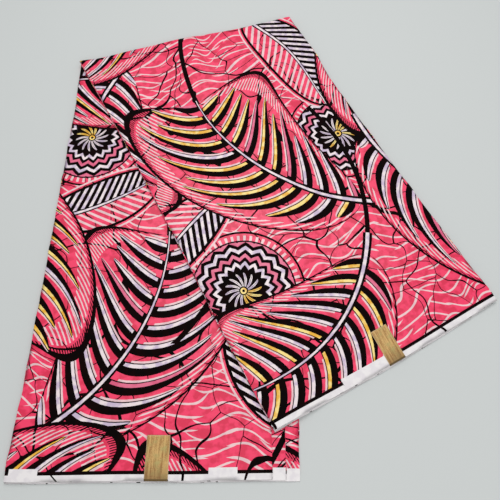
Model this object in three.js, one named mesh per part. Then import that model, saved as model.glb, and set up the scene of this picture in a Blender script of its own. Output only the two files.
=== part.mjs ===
// A six yard length of wax print cotton, folded into a flat bundle and laid on a surface.
//
// The 46 and a half inch wide cloth is folded back and forth along its length into panels a third of a yard wide,
// and the whole stack of panels is folded once more across, on a slant.  The lower leaf lies straight,
// and the upper leaf swings out to the right, partly on the lower leaf and partly on the surface.
// The panels are built as three packs that run through both leaves, one inside the other at the fold.
// Two plain paper labels are wrapped over the selvedge, one at the end of each leaf.
//
// Millimetres, +Z up.  The outline is worked out in a plan frame: x across the lower leaf from its left
// edge, y from its front end towards the fold.  The finished group stands on z = 0, centred on x and y.
import {
  Box3, BufferGeometry, Float32BufferAttribute, Group, MathUtils, Mesh, MeshStandardMaterial, Vector3,
} from 'three';

const clothWidth = 1180;            // selvedge to selvedge, the length of every folded panel
const panelWidth = 316;             // the widest panels, a little over a third of a yard less the turn
const foldStart = 574;              // the cross fold's left corner, from the lower leaf's front end
const foldAngle = MathUtils.degToRad(14.45);
const packThickness = 1.5;          // six panels pressed flat
const packGap = 0.3;                // parts the packs
const panelStep = 15;               // how far each pack's right side stands back from the pack outside it
const selvedgeStep = 1;             // how far its front end stands back from the pack outside it

const rampStart = 296;              // where the upper leaf starts to sink past the lower leaf's right side
const rampLength = 70;              // and how far it takes to reach the surface

const panelsShown = 2;              // rounded folds that show in a pack's side
const foldSetback = [0, 0.6];       // how far each of them stands back, from the top one down
const acrossCells = 11;             // cells between the side stations
const lowerRows = 13;
const upperRows = 16;
const bendRows = 6;

const labelThickness = 0.5;
const labelRows = 6;
const labels = [
  { name: 'label_lower', leaf: 'lower', left: 149, right: 174.5, tail: 0.6, length: 48 },
  { name: 'label_upper', leaf: 'upper', left: 156, right: 178, tail: -1.5, length: 42 },
];

const colours = { outer_panels: 0xe0496a, hidden_panels: 0xd9d0d6, inner_panels: 0xe0496a, label: 0xb08d57 };

// Pack levels, from the outside in: the stack's lowest face, mid-height and the bend's mid radius.
const packPitch = packThickness + packGap;
const packCount = 3;
const leafHeight = packCount * packPitch;
const packs = ['outer_panels', 'hidden_panels', 'inner_panels'].map((name, order) => ({
  name,
  width: panelWidth - order * panelStep,
  front: (order - packCount + 1) * selvedgeStep,
  middle: order * packPitch + packThickness / 2,
  radius: leafHeight - packGap / 2 - order * packPitch - packThickness / 2,
}));

// How far the stacked edges have slipped from a true fold.  place runs 0 to 1 up the lower leaf and
// 1 to 2 down the upper leaf; left and right are millimetres to the right at those edges.
const edgeSlip = [
  { place: 0.00, left: -1.8, right: 0.0 },
  { place: 0.08, left: -1.2, right: 0.0 },
  { place: 0.17, left: 1.4, right: 0.5 },
  { place: 0.50, left: 2.8, right: 1.0 },
  { place: 0.85, left: 3.1, right: 2.0 },
  { place: 1.00, left: 0.2, right: 3.0 },
  { place: 1.12, left: 1.5, right: 4.6 },
  { place: 1.30, left: 2.8, right: -2.4 },
  { place: 1.60, left: 2.9, right: -3.2 },
  { place: 1.80, left: 0.8, right: -3.0 },
  { place: 2.00, left: 1.6, right: -1.2 },
];

// How far the crest of the cross fold has slipped, millimetres away from the leaves.
const crestSlip = [
  { across: 0, out: -6.0 },
  { across: 28, out: -8.0 },
  { across: 88, out: -4.0 },
  { across: 150, out: 0.0 },
  { across: 225, out: -1.5 },
  { across: 285, out: 1.5 },
  { across: 316, out: 5.0 },
];

// How far the ends have slipped out from the fold, at places across from the left side to the right.
const endSlip = [
  { side: 0.0, lower: 0.0, upper: 4.5 },
  { side: 0.5, lower: -3.0, upper: 7.0 },
  { side: 1.0, lower: -6.0, upper: 4.0 },
];

// Reads a column of a table at a place between its rows, easing from row to row.
function readTable(table, key, column, at) {
  const last = table.length - 1;
  const next = Math.min(last, Math.max(1, table.findIndex((row) => row[key] > at)));
  const row = at >= table[last][key] ? last : next;
  const from = table[row - 1];
  const to = table[row];
  const ease = MathUtils.smoothstep(at, from[key], to[key]);
  return MathUtils.lerp(from[column], to[column], ease);
}

const foldAcross = [-Math.sin(foldAngle), Math.cos(foldAngle)];
const leafAcross = [Math.cos(2 * foldAngle), Math.sin(2 * foldAngle)];
const leafDown = [Math.sin(2 * foldAngle), -Math.cos(2 * foldAngle)];
const foldRise = (across) => across * Math.tan(foldAngle);
// The outer pack's turn takes up this much cloth, and the inner packs lie slack in theirs.
const outerBendLength = Math.PI * packs[0].radius / Math.cos(foldAngle);
const upperEnd = clothWidth + packs[0].front - foldStart - outerBendLength;

// The slip at a place: to the right, along the leaf that goes with it, over the crest, and out at the ends.
function slip(across, place) {
  const side = across / panelWidth;
  const nearFold = Math.max(0, 1 - Math.abs(place - 1));
  const left = readTable(edgeSlip, 'place', 'left', place);
  const right = readTable(edgeSlip, 'place', 'right', place);
  const sideways = MathUtils.lerp(left, right, side);
  const shear = foldRise(sideways) * nearFold;
  const crest = readTable(crestSlip, 'across', 'out', across) * nearFold ** 3;
  const end = readTable(endSlip, 'side', place < 1 ? 'lower' : 'upper', side) * (1 - nearFold) ** 2;
  return { sideways, shear, crest, end };
}

// A plan point on the lower leaf, from its distance across and its distance from the front end.
function lowerPlan(across, along) {
  const place = MathUtils.clamp(along / (foldStart + foldRise(across)), 0, 1);
  const { sideways, shear, crest, end } = slip(across, place);
  return [across + sideways + foldAcross[0] * crest, along + shear - end + foldAcross[1] * crest];
}

// A plan point on the upper leaf, from its distance across and its distance down from the fold's corner.
function upperPlan(across, along) {
  const foldAt = foldRise(across);
  const place = 1 + MathUtils.clamp((along - foldAt) / (upperEnd - foldAt), 0, 1);
  const { sideways, shear, crest, end } = slip(across, place);
  const right = across + sideways;
  const down = along + shear + end;
  return [
    leafAcross[0] * right + leafDown[0] * down + foldAcross[0] * crest,
    foldStart + leafAcross[1] * right + leafDown[1] * down + foldAcross[1] * crest,
  ];
}

// How far the upper leaf has sunk where it has left the lower leaf.
const sink = (x) => leafHeight * MathUtils.smoothstep(x, rampStart, rampStart + rampLength);

function lowerPoint(across, along, height) {
  const [x, y] = lowerPlan(across, along);
  return [x, y, height];
}

function upperPoint(across, along, height) {
  const [x, y] = upperPlan(across, along);
  return [x, y, height - sink(x)];
}

// A point in the bend: turn runs 0 to PI round a horizontal axis above the fold's line, and inward
// is its distance from the pack's mid-surface towards the inside of the bend.
function bendPoint(pack, across, turn, inward) {
  const [x, y] = lowerPlan(across, foldStart + foldRise(across));
  const sunk = sink(x) / 2;
  const reach = pack.radius - sunk - inward;
  const centre = leafHeight - packGap / 2 - sunk;
  const out = reach * Math.sin(turn);
  return [x + foldAcross[0] * out, y + foldAcross[1] * out, centre - reach * Math.cos(turn)];
}

// The section of a pack: across and inward distances all round, top stations, right side, bottom, left.
function packSection(pack) {
  const half = packThickness / 2;
  const foldRadius = half / panelsShown;
  const inset = foldRadius + Math.max(...foldSetback);
  const narrowest = packs[packCount - 1].width;
  const stations = [];
  for (let cell = 0; cell <= acrossCells; cell += 1) {
    stations.push(MathUtils.lerp(inset, narrowest - inset, cell / acrossCells));
  }
  for (let wider = packCount - 2; wider >= packs.indexOf(pack); wider -= 1) {
    stations.push(packs[wider].width - inset);
  }
  const side = [];
  for (let shown = 0; shown < panelsShown; shown += 1) {
    const level = half - foldRadius * (2 * shown + 1);
    for (const angle of [50, 0, -50]) {
      const turn = MathUtils.degToRad(angle);
      side.push([foldRadius * Math.cos(turn) - foldSetback[shown], level + foldRadius * Math.sin(turn)]);
    }
    if (shown < panelsShown - 1) {
      side.push([-foldSetback[shown + 1] + foldRadius * 0.2, level - foldRadius]);
    }
  }
  return {
    stations,
    side,
    ring: [
      ...stations.map((across) => [across, half]),
      ...side.map(([out, inward]) => [pack.width - foldRadius + out, inward]),
      ...[...stations].reverse().map((across) => [across, -half]),
      ...[...side].reverse().map(([out, inward]) => [foldRadius - out, inward]),
    ],
  };
}

// Every ring of points along a pack, from the lower leaf's front end round the bend to the upper end.
function packRings(pack, section) {
  const rings = [];
  for (let row = 0; row <= lowerRows; row += 1) {
    rings.push(section.ring.map(([across, inward]) => {
      const along = MathUtils.lerp(pack.front, foldStart + foldRise(across), row / lowerRows);
      return lowerPoint(across, along, pack.middle + inward);
    }));
  }
  for (let step = 1; step < bendRows; step += 1) {
    rings.push(section.ring.map(([across, inward]) => (
      bendPoint(pack, across, Math.PI * step / bendRows, inward))));
  }
  const top = 2 * leafHeight - packGap - pack.middle;
  for (let row = 0; row <= upperRows; row += 1) {
    rings.push(section.ring.map(([across, inward]) => {
      const along = MathUtils.lerp(foldRise(across), upperEnd, row / upperRows);
      return upperPoint(across, along, top - inward);
    }));
  }
  const end = upperEnd + pack.front - packs[0].front;
  if (end > upperEnd) {
    rings.push(section.ring.map(([across, inward]) => upperPoint(across, end, top - inward)));
  }
  return rings;
}

// The triangles that close one end of a pack, between its top and bottom stations and round its sides.
function packCap(section) {
  const { stations, side } = section;
  const count = stations.length;
  const turn = side.length;
  const below = (index) => 2 * count + turn - 1 - index;
  const triangles = [];
  for (let index = 0; index < count - 1; index += 1) {
    triangles.push([index, below(index), below(index + 1)], [index, below(index + 1), index + 1]);
  }
  const middle = (turn - 1) / 2;
  const closeSide = (start, top, bottom) => {
    for (let index = 0; index < middle; index += 1) {
      triangles.push([start + index, top, start + index + 1]);
      triangles.push([start + middle + index, bottom, start + middle + index + 1]);
    }
    triangles.push([top, bottom, start + middle]);
  };
  closeSide(count, count - 1, below(count - 1));
  closeSide(2 * count + turn, below(0), 0);
  return triangles;
}

// A closed mesh from a row of rings, with the given triangles at its two ends.  The two halves of a
// ring are split along the same diagonals in plan, so that stacked faces stay parallel.
function closedMesh(name, rings, cap, colour) {
  const size = rings[0].length;
  const indices = [];
  for (let row = 0; row < rings.length - 1; row += 1) {
    for (let index = 0; index < size; index += 1) {
      const next = (index + 1) % size;
      const near = row * size;
      const far = near + size;
      if (index < size / 2) {
        indices.push(near + index, far + next, far + index, near + index, near + next, far + next);
      } else {
        indices.push(near + index, near + next, far + index, near + next, far + next, far + index);
      }
    }
  }
  const lastRing = (rings.length - 1) * size;
  for (const [first, second, third] of cap) {
    indices.push(first, second, third, lastRing + first, lastRing + third, lastRing + second);
  }
  const geometry = new BufferGeometry();
  geometry.setAttribute('position', new Float32BufferAttribute(rings.flat(2), 3));
  geometry.setIndex(indices);
  geometry.computeVertexNormals();
  const mesh = new Mesh(geometry, new MeshStandardMaterial({ color: colour, roughness: 0.75, metalness: 0 }));
  mesh.name = name;
  return mesh;
}

function makePack(pack) {
  const section = packSection(pack);
  return closedMesh(pack.name, packRings(pack, section), packCap(section), colours[pack.name]);
}

// A label lies on the leaf's top panel, is turned down over its end and stops at the pack's lower face.
function makeLabel(label) {
  const lower = label.leaf === 'lower';
  const packTop = lower ? leafHeight - packGap : 2 * leafHeight - packGap;
  const inner = packTop + packGap;
  const outer = inner + labelThickness;
  const foot = packTop - packThickness;
  const end = packGap;
  const rows = [];
  for (let row = 0; row < labelRows; row += 1) {
    const back = label.length * (1 - row / labelRows);
    rows.push([[back, outer], [back, inner]]);
  }
  const corner = labelThickness * Math.SQRT1_2;
  rows.push([[-end, outer], [-end, inner]]);
  rows.push([[-end - corner, inner + corner], [-end, inner - packGap / 4]]);
  rows.push([[-end - labelThickness, inner - packGap / 2], [-end, inner - packGap / 2]]);
  rows.push([[-end - labelThickness, foot], [-end, foot]]);
  const place = (across, back, height) => {
    const slant = label.tail * (1 - Math.max(0, back) / label.length);
    return lower
      ? lowerPoint(across + slant, back, height)
      : upperPoint(across + slant, upperEnd - back, height);
  };
  const rings = rows.map(([[outBack, outHeight], [inBack, inHeight]]) => [
    place(label.left, inBack, inHeight), place(label.right, inBack, inHeight),
    place(label.right, outBack, outHeight), place(label.left, outBack, outHeight),
  ]);
  return closedMesh(label.name, rings, [[0, 3, 2], [0, 2, 1]], colours.label);
}

const fabric = new Group();
packs.forEach((pack) => fabric.add(makePack(pack)));
labels.forEach((label) => fabric.add(makeLabel(label)));

const box = new Box3().setFromObject(fabric);
const centre = box.getCenter(new Vector3());
fabric.position.set(-centre.x, -centre.y, -box.min.z);

export default fabric;
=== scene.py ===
import bpy
import numpy as np
from mathutils import Matrix, Vector


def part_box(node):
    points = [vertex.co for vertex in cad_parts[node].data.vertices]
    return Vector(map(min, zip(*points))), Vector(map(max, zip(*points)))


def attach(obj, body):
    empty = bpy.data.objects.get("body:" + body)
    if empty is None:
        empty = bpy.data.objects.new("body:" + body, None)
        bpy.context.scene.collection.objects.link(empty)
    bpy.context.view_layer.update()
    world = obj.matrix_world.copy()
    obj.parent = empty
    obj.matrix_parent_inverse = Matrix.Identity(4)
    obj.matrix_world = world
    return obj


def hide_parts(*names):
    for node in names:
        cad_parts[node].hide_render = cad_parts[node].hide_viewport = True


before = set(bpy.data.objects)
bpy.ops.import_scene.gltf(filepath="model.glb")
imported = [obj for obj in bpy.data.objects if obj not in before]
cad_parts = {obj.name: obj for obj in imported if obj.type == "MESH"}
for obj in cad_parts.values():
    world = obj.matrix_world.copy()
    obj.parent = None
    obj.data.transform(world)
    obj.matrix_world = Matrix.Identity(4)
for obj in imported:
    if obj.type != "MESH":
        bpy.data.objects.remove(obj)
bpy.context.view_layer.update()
print("frame loaded")

mm = 0.001

# How the cloth is folded, in metres
folding = {
    "clothWidth": 1.180,  # selvedge to selvedge
    "panelWidth": 0.316,
    "foldStart": 0.574,  # the cross fold's left corner, from the lower leaf's front end
    "foldAngle": np.radians(14.45),
    "packThickness": 0.0015,  # six panels pressed flat
    "packGap": 0.0003,
    "panelStep": 0.015,  # each pack's right side stands back this far from the pack outside it
    "selvedgeStep": 0.001,
    "rampStart": 0.296,  # where the upper leaf starts to sink to the surface
    "rampLength": 0.070,
}
packCount = 3
halfPack = folding["packThickness"] / 2
packPitch = folding["packThickness"] + folding["packGap"]
leafHeight = packCount * packPitch
tanFold = np.tan(folding["foldAngle"])
foldAcross = (-np.sin(folding["foldAngle"]), np.cos(folding["foldAngle"]))
leafAcross = (np.cos(2 * folding["foldAngle"]), np.sin(2 * folding["foldAngle"]))
leafDown = (leafAcross[1], -leafAcross[0])

# How far the stacked edges have slipped from a true fold, in millimetres to the right.
# place runs 0 to 1 up the lower leaf and 1 to 2 down the upper leaf.
edgeSlip = {
    "place": (0.00, 0.08, 0.17, 0.50, 0.85, 1.00, 1.12, 1.30, 1.60, 1.80, 2.00),
    "left": (-1.8, -1.2, 1.4, 2.8, 3.1, 0.2, 1.5, 2.8, 2.9, 0.8, 1.6),
    "right": (0.0, 0.0, 0.5, 1.0, 2.0, 3.0, 4.6, -2.4, -3.2, -3.0, -1.2),
}
# How far the crest of the cross fold has slipped, in millimetres away from the leaves
crestSlip = {
    "across": (0, 28, 88, 150, 225, 285, 316),
    "out": (-6.0, -8.0, -4.0, 0.0, -1.5, 1.5, 5.0),
}

# How far the ends have slipped out from the fold, in millimetres, from the left side to the right
endSlip = {"side": (0, 0.5, 1), "lower": (0, -3, -6), "upper": (4.5, 7, 4)}

# The packs, from the outside in. slice is the stretch of the cloth's length that shows on each face,
# as the distance along the print where the face's left edge lies, and flip turns the print round.
# seen lists the pack's leaf faces from the most seen to the least.
packs = {
    "outer_cloth": {"node": "outer_panels", "order": 0, "slices": (0.468, 0.196), "seed": 3,
                    "seen": ("outside upper", "inside lower", "outside lower", "inside upper")},
    "hidden_cloth": {"node": "hidden_panels", "order": 1, "slices": (0.697, 0.067), "seed": 11,
                     "seen": ("inside lower", "outside upper", "outside lower", "inside upper")},
    "inner_cloth": {"node": "inner_panels", "order": 2, "slices": (0.118, 0.395), "seed": 29,
                    "seen": ("inside lower", "outside upper", "outside lower", "inside upper")},
}
for pack in packs.values():
    pack["width"] = folding["panelWidth"] - pack["order"] * folding["panelStep"]
    pack["front"] = (pack["order"] - packCount + 1) * folding["selvedgeStep"]
    pack["middle"] = pack["order"] * packPitch + halfPack
    pack["radius"] = leafHeight - folding["packGap"] / 2 - pack["middle"]


def smoothStep(low, high, value):
    share = np.clip((value - low) / (high - low), 0, 1)
    return share * share * (3 - 2 * share)


def readTable(keys, column, at):
    keys, column = np.asarray(keys, float), np.asarray(column, float)
    row = np.clip(np.searchsorted(keys, at, side="right"), 1, len(keys) - 1)
    ease = smoothStep(keys[row - 1], keys[row], at)
    return column[row - 1] + (column[row] - column[row - 1]) * ease


# The outer pack's turn takes up this much cloth, and the inner ones lie slack in theirs
outerPack = packs["outer_cloth"]
bendLength = np.pi * outerPack["radius"] / np.cos(folding["foldAngle"])
upperEnd = folding["clothWidth"] + outerPack["front"] - folding["foldStart"] - bendLength


# How far a place has slipped: right, along its leaf, over the crest, and out at the ends
def slip(across, place):
    nearFold = np.clip(1 - np.abs(place - 1), 0, 1)
    left = readTable(edgeSlip["place"], edgeSlip["left"], place)
    right = readTable(edgeSlip["place"], edgeSlip["right"], place)
    side = across / folding["panelWidth"]
    sideways = (left + (right - left) * side) * mm
    crest = readTable(crestSlip["across"], crestSlip["out"], across / mm) * mm * nearFold**3
    endOut = readTable(endSlip["side"], endSlip["lower"], side)
    endOut = np.where(place < 1, endOut, readTable(endSlip["side"], endSlip["upper"], side))
    return sideways, sideways * tanFold * nearFold, crest, endOut * mm * (1 - nearFold) ** 2


def lowerPlan(across, along):
    place = np.clip(along / (folding["foldStart"] + across * tanFold), 0, 1)
    sideways, shear, crest, end = slip(across, place)
    return across + sideways + foldAcross[0] * crest, along + shear - end + foldAcross[1] * crest


def upperPlan(across, along):
    foldAt = across * tanFold
    place = 1 + np.clip((along - foldAt) / (upperEnd - foldAt), 0, 1)
    sideways, shear, crest, end = slip(across, place)
    right, down = across + sideways, along + shear + end
    x = leafAcross[0] * right + leafDown[0] * down + foldAcross[0] * crest
    y = folding["foldStart"] + leafAcross[1] * right + leafDown[1] * down + foldAcross[1] * crest
    return x, y


def sink(x):
    return leafHeight * smoothStep(folding["rampStart"], folding["rampStart"] + folding["rampLength"], x)


# Soft ridges (height above 0) and troughs left in the pressed cloth, in millimetres: each runs from one
# plan point to another, so wide and so high, and fades out at its ends
creases = {
    "lower": (
        {"from": (60, 60), "to": (250, 120), "wide": 34, "high": 0.7},
        {"from": (20, 250), "to": (190, 235), "wide": 22, "high": 0.55},
        {"from": (10, 430), "to": (120, 415), "wide": 26, "high": 0.6},
        {"from": (105, 20), "to": (95, 330), "wide": 12, "high": 0.35},
        {"from": (205, 10), "to": (212, 150), "wide": 14, "high": 0.45},
        {"from": (-5, 150), "to": (80, 170), "wide": 30, "high": 0.5},
    ),
    "upper": (
        {"from": (110, 560), "to": (290, 600), "wide": 30, "high": 0.8},
        {"from": (180, 395), "to": (420, 520), "wide": 26, "high": 0.6},
        {"from": (235, 300), "to": (450, 400), "wide": 30, "high": 0.55},
        {"from": (300, 160), "to": (500, 290), "wide": 24, "high": 0.65},
        {"from": (115, 540), "to": (330, 160), "wide": 12, "high": 0.35},
        {"from": (240, 610), "to": (470, 200), "wide": 13, "high": 0.4},
        {"from": (330, 110), "to": (390, 250), "wide": 28, "high": 0.7},
    ),
}
# How each crease wavers from its straight line, and over what length it fades out, in millimetres
creaseWaver = {"out": 6, "length": 47, "fade": 50}


def swell(leaf, x, y):
    total = np.zeros_like(x)
    for crease in creases[leaf]:
        start, end = (np.array(crease[key]) * mm for key in ("from", "to"))
        run = end - start
        length = np.hypot(*run)
        along = ((x - start[0]) * run[0] + (y - start[1]) * run[1]) / length
        beside = ((y - start[1]) * run[0] - (x - start[0]) * run[1]) / length
        beside += creaseWaver["out"] * mm * np.sin(along / (creaseWaver["length"] * mm) + crease["wide"])
        ease = creaseWaver["fade"] * mm
        fade = smoothStep(-ease, ease, along) * smoothStep(-ease, ease, length - along)
        total += crease["high"] * mm * fade * np.exp(-((beside / (crease["wide"] * mm)) ** 2))
    return total


def lowerPoint(across, along, height):
    x, y = lowerPlan(across, along)
    return x, y, height * (1 + swell("lower", x, y) / leafHeight)


def upperPoint(across, along, height):
    x, y = upperPlan(across, along)
    base = leafHeight - sink(x)
    lift = swell("lower", x, y) * base / leafHeight
    thick = height - leafHeight
    return x, y, base + lift + thick * (1 + swell("upper", x, y) / leafHeight)


# A point of a pack: across the panel, distance from the pack's front end along the cloth, and distance
# from the pack's mid-surface towards the inside of the cross fold
def packPoint(pack, across, travel, inward):
    foldAt = folding["foldStart"] + across * tanFold
    along = travel + pack["front"]
    turn = np.clip((along - foldAt) / bendLength, 0, 1) * np.pi
    lower = lowerPoint(across, np.minimum(along, foldAt), pack["middle"] + inward)
    down = across * tanFold + np.maximum(along - foldAt - bendLength, 0)
    top = 2 * leafHeight - folding["packGap"] - pack["middle"]
    upper = upperPoint(across, down, top - inward)
    bendX, bendY, floor = lowerPoint(across, foldAt, pack["middle"] + inward)
    ceiling = upperPoint(across, across * tanFold, top - inward)[2]
    reach = (ceiling - floor) / 2
    bend = (
        bendX + foldAcross[0] * reach * np.sin(turn),
        bendY + foldAcross[1] * reach * np.sin(turn),
        (ceiling + floor) / 2 - reach * np.cos(turn),
    )
    onLower, onUpper = turn <= 0, turn >= np.pi
    parts = zip(lower, bend, upper)
    return np.stack([np.where(onLower, low, np.where(onUpper, high, mid)) for low, mid, high in parts], -1)


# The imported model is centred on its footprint, so the plan moves by what parts their two corners
def planShift():
    pack = packs["inner_cloth"]
    frontCount, leftCount = 100, 400  # places looked at along the front end and the left side
    front = packPoint(pack, np.linspace(0, pack["width"], frontCount), np.zeros(frontCount), 0.0)
    left = packPoint(pack, np.zeros(leftCount), np.linspace(0, folding["clothWidth"], leftCount), 0.0)
    low = np.array(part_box(pack["node"])[0])[:2]
    return np.array([low[0] - left[:, 0].min(), low[1] - front[:, 1].min(), 0])


toFrame = planShift()
print("plan placed", toFrame)

# How finely the packs are meshed, and how their stacked edges show, in metres
layering = {
    "acrossSpacing": 0.0045,
    "alongSpacing": 0.0045,
    "bendRows": 14,
    "sideFolds": 3,  # folded panels that show in a pack's side, each two panels thick
    "wovenEdges": 6,  # edges that show at a pack's end
    "levels": 12,  # faces down a pack's edge
    "topLevels": 3,  # the first of them, on which the inside's print carries on
    "inset": 0.0004,  # a pack's flat faces stop this far short of its sides
    "foldBulge": 0.0003,
    "sideSlip": 0.0011,  # how far the folds stand out or back
    "topBack": 0.3,  # how far the top fold stands back, as a share of that
    "endSlip": 0.0006,
    "edgeNotch": 0.0002,  # how far the steps between woven edges go in
    "slipLength": 0.085,  # over what length the slips change
    "slipWaves": (1.0, 1.7, 3.1),  # waves in that length
    "slipTotal": 1.9,  # what those waves come to at most, together
}
lowerRows = int(round(folding["foldStart"] / layering["alongSpacing"]))


# Smooth random offsets along an edge, up to about 1 either way, from a few waves of random phase
def wander(random, places):
    total = np.zeros_like(places)
    for wave in layering["slipWaves"]:
        phase = random.uniform(0, 2 * np.pi)
        total += np.sin(2 * np.pi * places * wave / layering["slipLength"] + phase) / wave
    return total / layering["slipTotal"]


# How far a pack's side stands out at each level of its edge: rounded folds, with a groove between them
def sideProfile(random, places):
    rows = np.zeros((layering["levels"] - 1, len(places)))
    perFold = layering["levels"] // layering["sideFolds"]
    for fold in range(layering["sideFolds"]):
        back = 0 if fold else layering["topBack"]
        drift = layering["sideSlip"] * (wander(random, places) - back)
        for level in range(perFold + 1):
            row = fold * perFold + level - 1
            shown = drift + layering["foldBulge"] * np.sqrt(1 - (2 * level / perFold - 1) ** 2)
            if 0 <= row < len(rows):
                rows[row] = shown if level else np.minimum(rows[row], shown)
    return rows


# How far a pack's end stands out at each level of its edge: woven edges, with a step in between them
def endProfile(random, places):
    edges = [layering["endSlip"] * wander(random, places) for edge in range(layering["wovenEdges"])]
    rows = []
    for level in range(1, layering["levels"]):
        notch = 0 if level % 2 else layering["edgeNotch"]
        rows.append(np.minimum(edges[(level - 1) // 2], edges[level // 2]) - notch)
    return rows


def packStations(pack):
    count = int(round(pack["width"] / layering["acrossSpacing"]))
    return np.linspace(layering["inset"], pack["width"] - layering["inset"], count + 1)


# The distances along the cloth of every row, for every station across
def packRows(pack, across):
    foldAt = folding["foldStart"] + across * tanFold - pack["front"]
    lower = np.linspace(0, 1, lowerRows + 1)[:, None] * foldAt
    bend = foldAt + np.linspace(0, 1, layering["bendRows"] + 1)[1:, None] * bendLength
    upper = bend[-1] + np.linspace(0, 1, lowerRows + 1)[1:, None] * (folding["clothWidth"] - bend[-1])
    return np.concatenate([lower, bend, upper])


# The loop of places round the edge of a grid, anticlockwise, each as its row and column
def rimLoop(rowCount, columnCount):
    lastRow, lastColumn = rowCount - 1, columnCount - 1
    loop = [(0, column) for column in range(columnCount)]
    loop += [(row, lastColumn) for row in range(1, rowCount)]
    loop += [(lastRow, column) for column in range(lastColumn - 1, -1, -1)]
    loop += [(row, 0) for row in range(lastRow - 1, 0, -1)]
    return np.array(loop)


def gridFaces(rowCount, columnCount, start, upwards):
    rows, columns = np.meshgrid(np.arange(rowCount - 1), np.arange(columnCount - 1), indexing="ij")
    corner = (start + rows * columnCount + columns).ravel()
    faces = np.stack([corner, corner + 1, corner + 1 + columnCount, corner + columnCount], -1)
    return faces if upwards else faces[:, ::-1]


# The map that a print would be baked through, in shares of its width per metre: the leaf that shows most
# gets most of the room, the hidden ones little, and the thin edges lie in strips of their own
bakeRoom = {
    "scales": (1.46, 0.85, 0.40, 0.20),
    "gap": 0.010,
    "edgeScale": 0.82,
    "edgeWide": 0.024,
    "edgeEvery": 0.030,
}
longestLeaf = folding["foldStart"] + folding["panelWidth"] * tanFold + packCount * folding["selvedgeStep"]


def leafRooms(pack):
    rooms = {}
    x = y = bakeRoom["gap"]
    for scale, leaf in zip(bakeRoom["scales"], pack["seen"]):
        rooms[leaf] = (x, y, scale)
        if len(rooms) == 1:
            x += scale * pack["width"] + bakeRoom["gap"]
        else:
            y += scale * longestLeaf + bakeRoom["gap"]
    return rooms


def leafPlaces(pack, side, across, travel, onUpper):
    rooms = leafRooms(pack)
    x, y, scale = (
        np.where(onUpper, high, low) for low, high in zip(rooms[side + " lower"], rooms[side + " upper"])
    )
    run = across if side == "inside" else pack["width"] - across
    start = np.where(onUpper, folding["foldStart"] - pack["front"], 0)
    return np.stack([x + run * scale, y + (travel - start) * scale], -1)


# sides says which side of the pack each step of its rim runs along: 0 front, 1 right, 2 back, 3 left
def edgePlaces(pack, sides, across, travel, level):
    runs = []
    for shift in (0, -1):
        right, back = np.roll(across, shift), np.roll(travel, shift)
        runs.append(np.choose(sides, [right, back, pack["width"] - right, travel.max() - back]))
    left = 1 - (4 - sides) * bakeRoom["edgeEvery"]
    step = bakeRoom["edgeWide"] / layering["levels"]
    u = np.stack([left + row * step for row in (level, level + 1, level + 1, level)], -1)
    v = np.stack([runs[0], runs[0], runs[1], runs[1]], -1) * bakeRoom["edgeScale"] + bakeRoom["gap"]
    return np.stack([u, v], -1)


# The rings of points round a pack's edge, between its two faces
def rimPoints(pack, random, loop, lastRow, lastColumn, across, travel):
    onRight, onLeft = loop[:, 1] == lastColumn, loop[:, 1] == 0
    onBack, onFront = loop[:, 0] == lastRow, loop[:, 0] == 0
    rightOut, leftOut = sideProfile(random, travel), sideProfile(random, travel)
    frontOut, backOut = endProfile(random, across), endProfile(random, across)
    rings = []
    for level, (right, left, front, back) in enumerate(zip(rightOut, leftOut, frontOut, backOut), 1):
        outAcross = np.where(onRight, right, 0) - np.where(onLeft, left, 0)
        outTravel = np.where(onBack, back, 0) - np.where(onFront, front, 0)
        inward = halfPack * (1 - 2 * level / layering["levels"])
        rings.append(packPoint(pack, across + outAcross, travel + outTravel, inward))
    return rings


# A pack's faces in parts: its inside, its outside, and one ring for each level of its edge
def packFaces(loop, rowCount, columnCount):
    pointCount, rimCount = rowCount * columnCount, len(loop)
    insideRim = loop[:, 0] * columnCount + loop[:, 1]
    firsts = 2 * pointCount + rimCount * np.arange(layering["levels"] - 1)
    rings = [insideRim, *(first + np.arange(rimCount) for first in firsts), pointCount + insideRim]
    parts = [gridFaces(rowCount, columnCount, 0, True), gridFaces(rowCount, columnCount, pointCount, False)]
    for upper, lower in zip(rings, rings[1:]):
        parts.append(np.stack([upper, lower, np.roll(lower, -1), np.roll(upper, -1)], -1))
    return parts


# Where each part of a pack starts in the print, and which way it runs. The edge's lower levels show any
# stretch of the cloth.
def partPrints(pack, random):
    inside, outside = pack["slices"]
    prints = [(inside, 1), (outside, -1)]
    for level in range(layering["levels"]):
        prints.append((inside if level < layering["topLevels"] else random.uniform(0, 1), 1))
    return prints


# One mesh of four cornered faces, with its UV maps, as an object at the origin
def makePiece(name, points, faces, maps):
    mesh = bpy.data.meshes.new(name)
    mesh.vertices.add(len(points))
    mesh.vertices.foreach_set("co", points.ravel())
    mesh.loops.add(faces.size)
    mesh.loops.foreach_set("vertex_index", faces.ravel())
    mesh.polygons.add(len(faces))
    mesh.polygons.foreach_set("loop_start", np.arange(0, faces.size, faces.shape[1]))
    mesh.update(calc_edges=True)
    for mapName, places in maps.items():
        mesh.uv_layers.new(name=mapName).data.foreach_set("uv", places.ravel())
    mesh.polygons.foreach_set("use_smooth", np.ones(len(faces), bool))
    mesh.validate()
    piece = bpy.data.objects.new(name, mesh)
    bpy.context.collection.objects.link(piece)
    return piece


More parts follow.
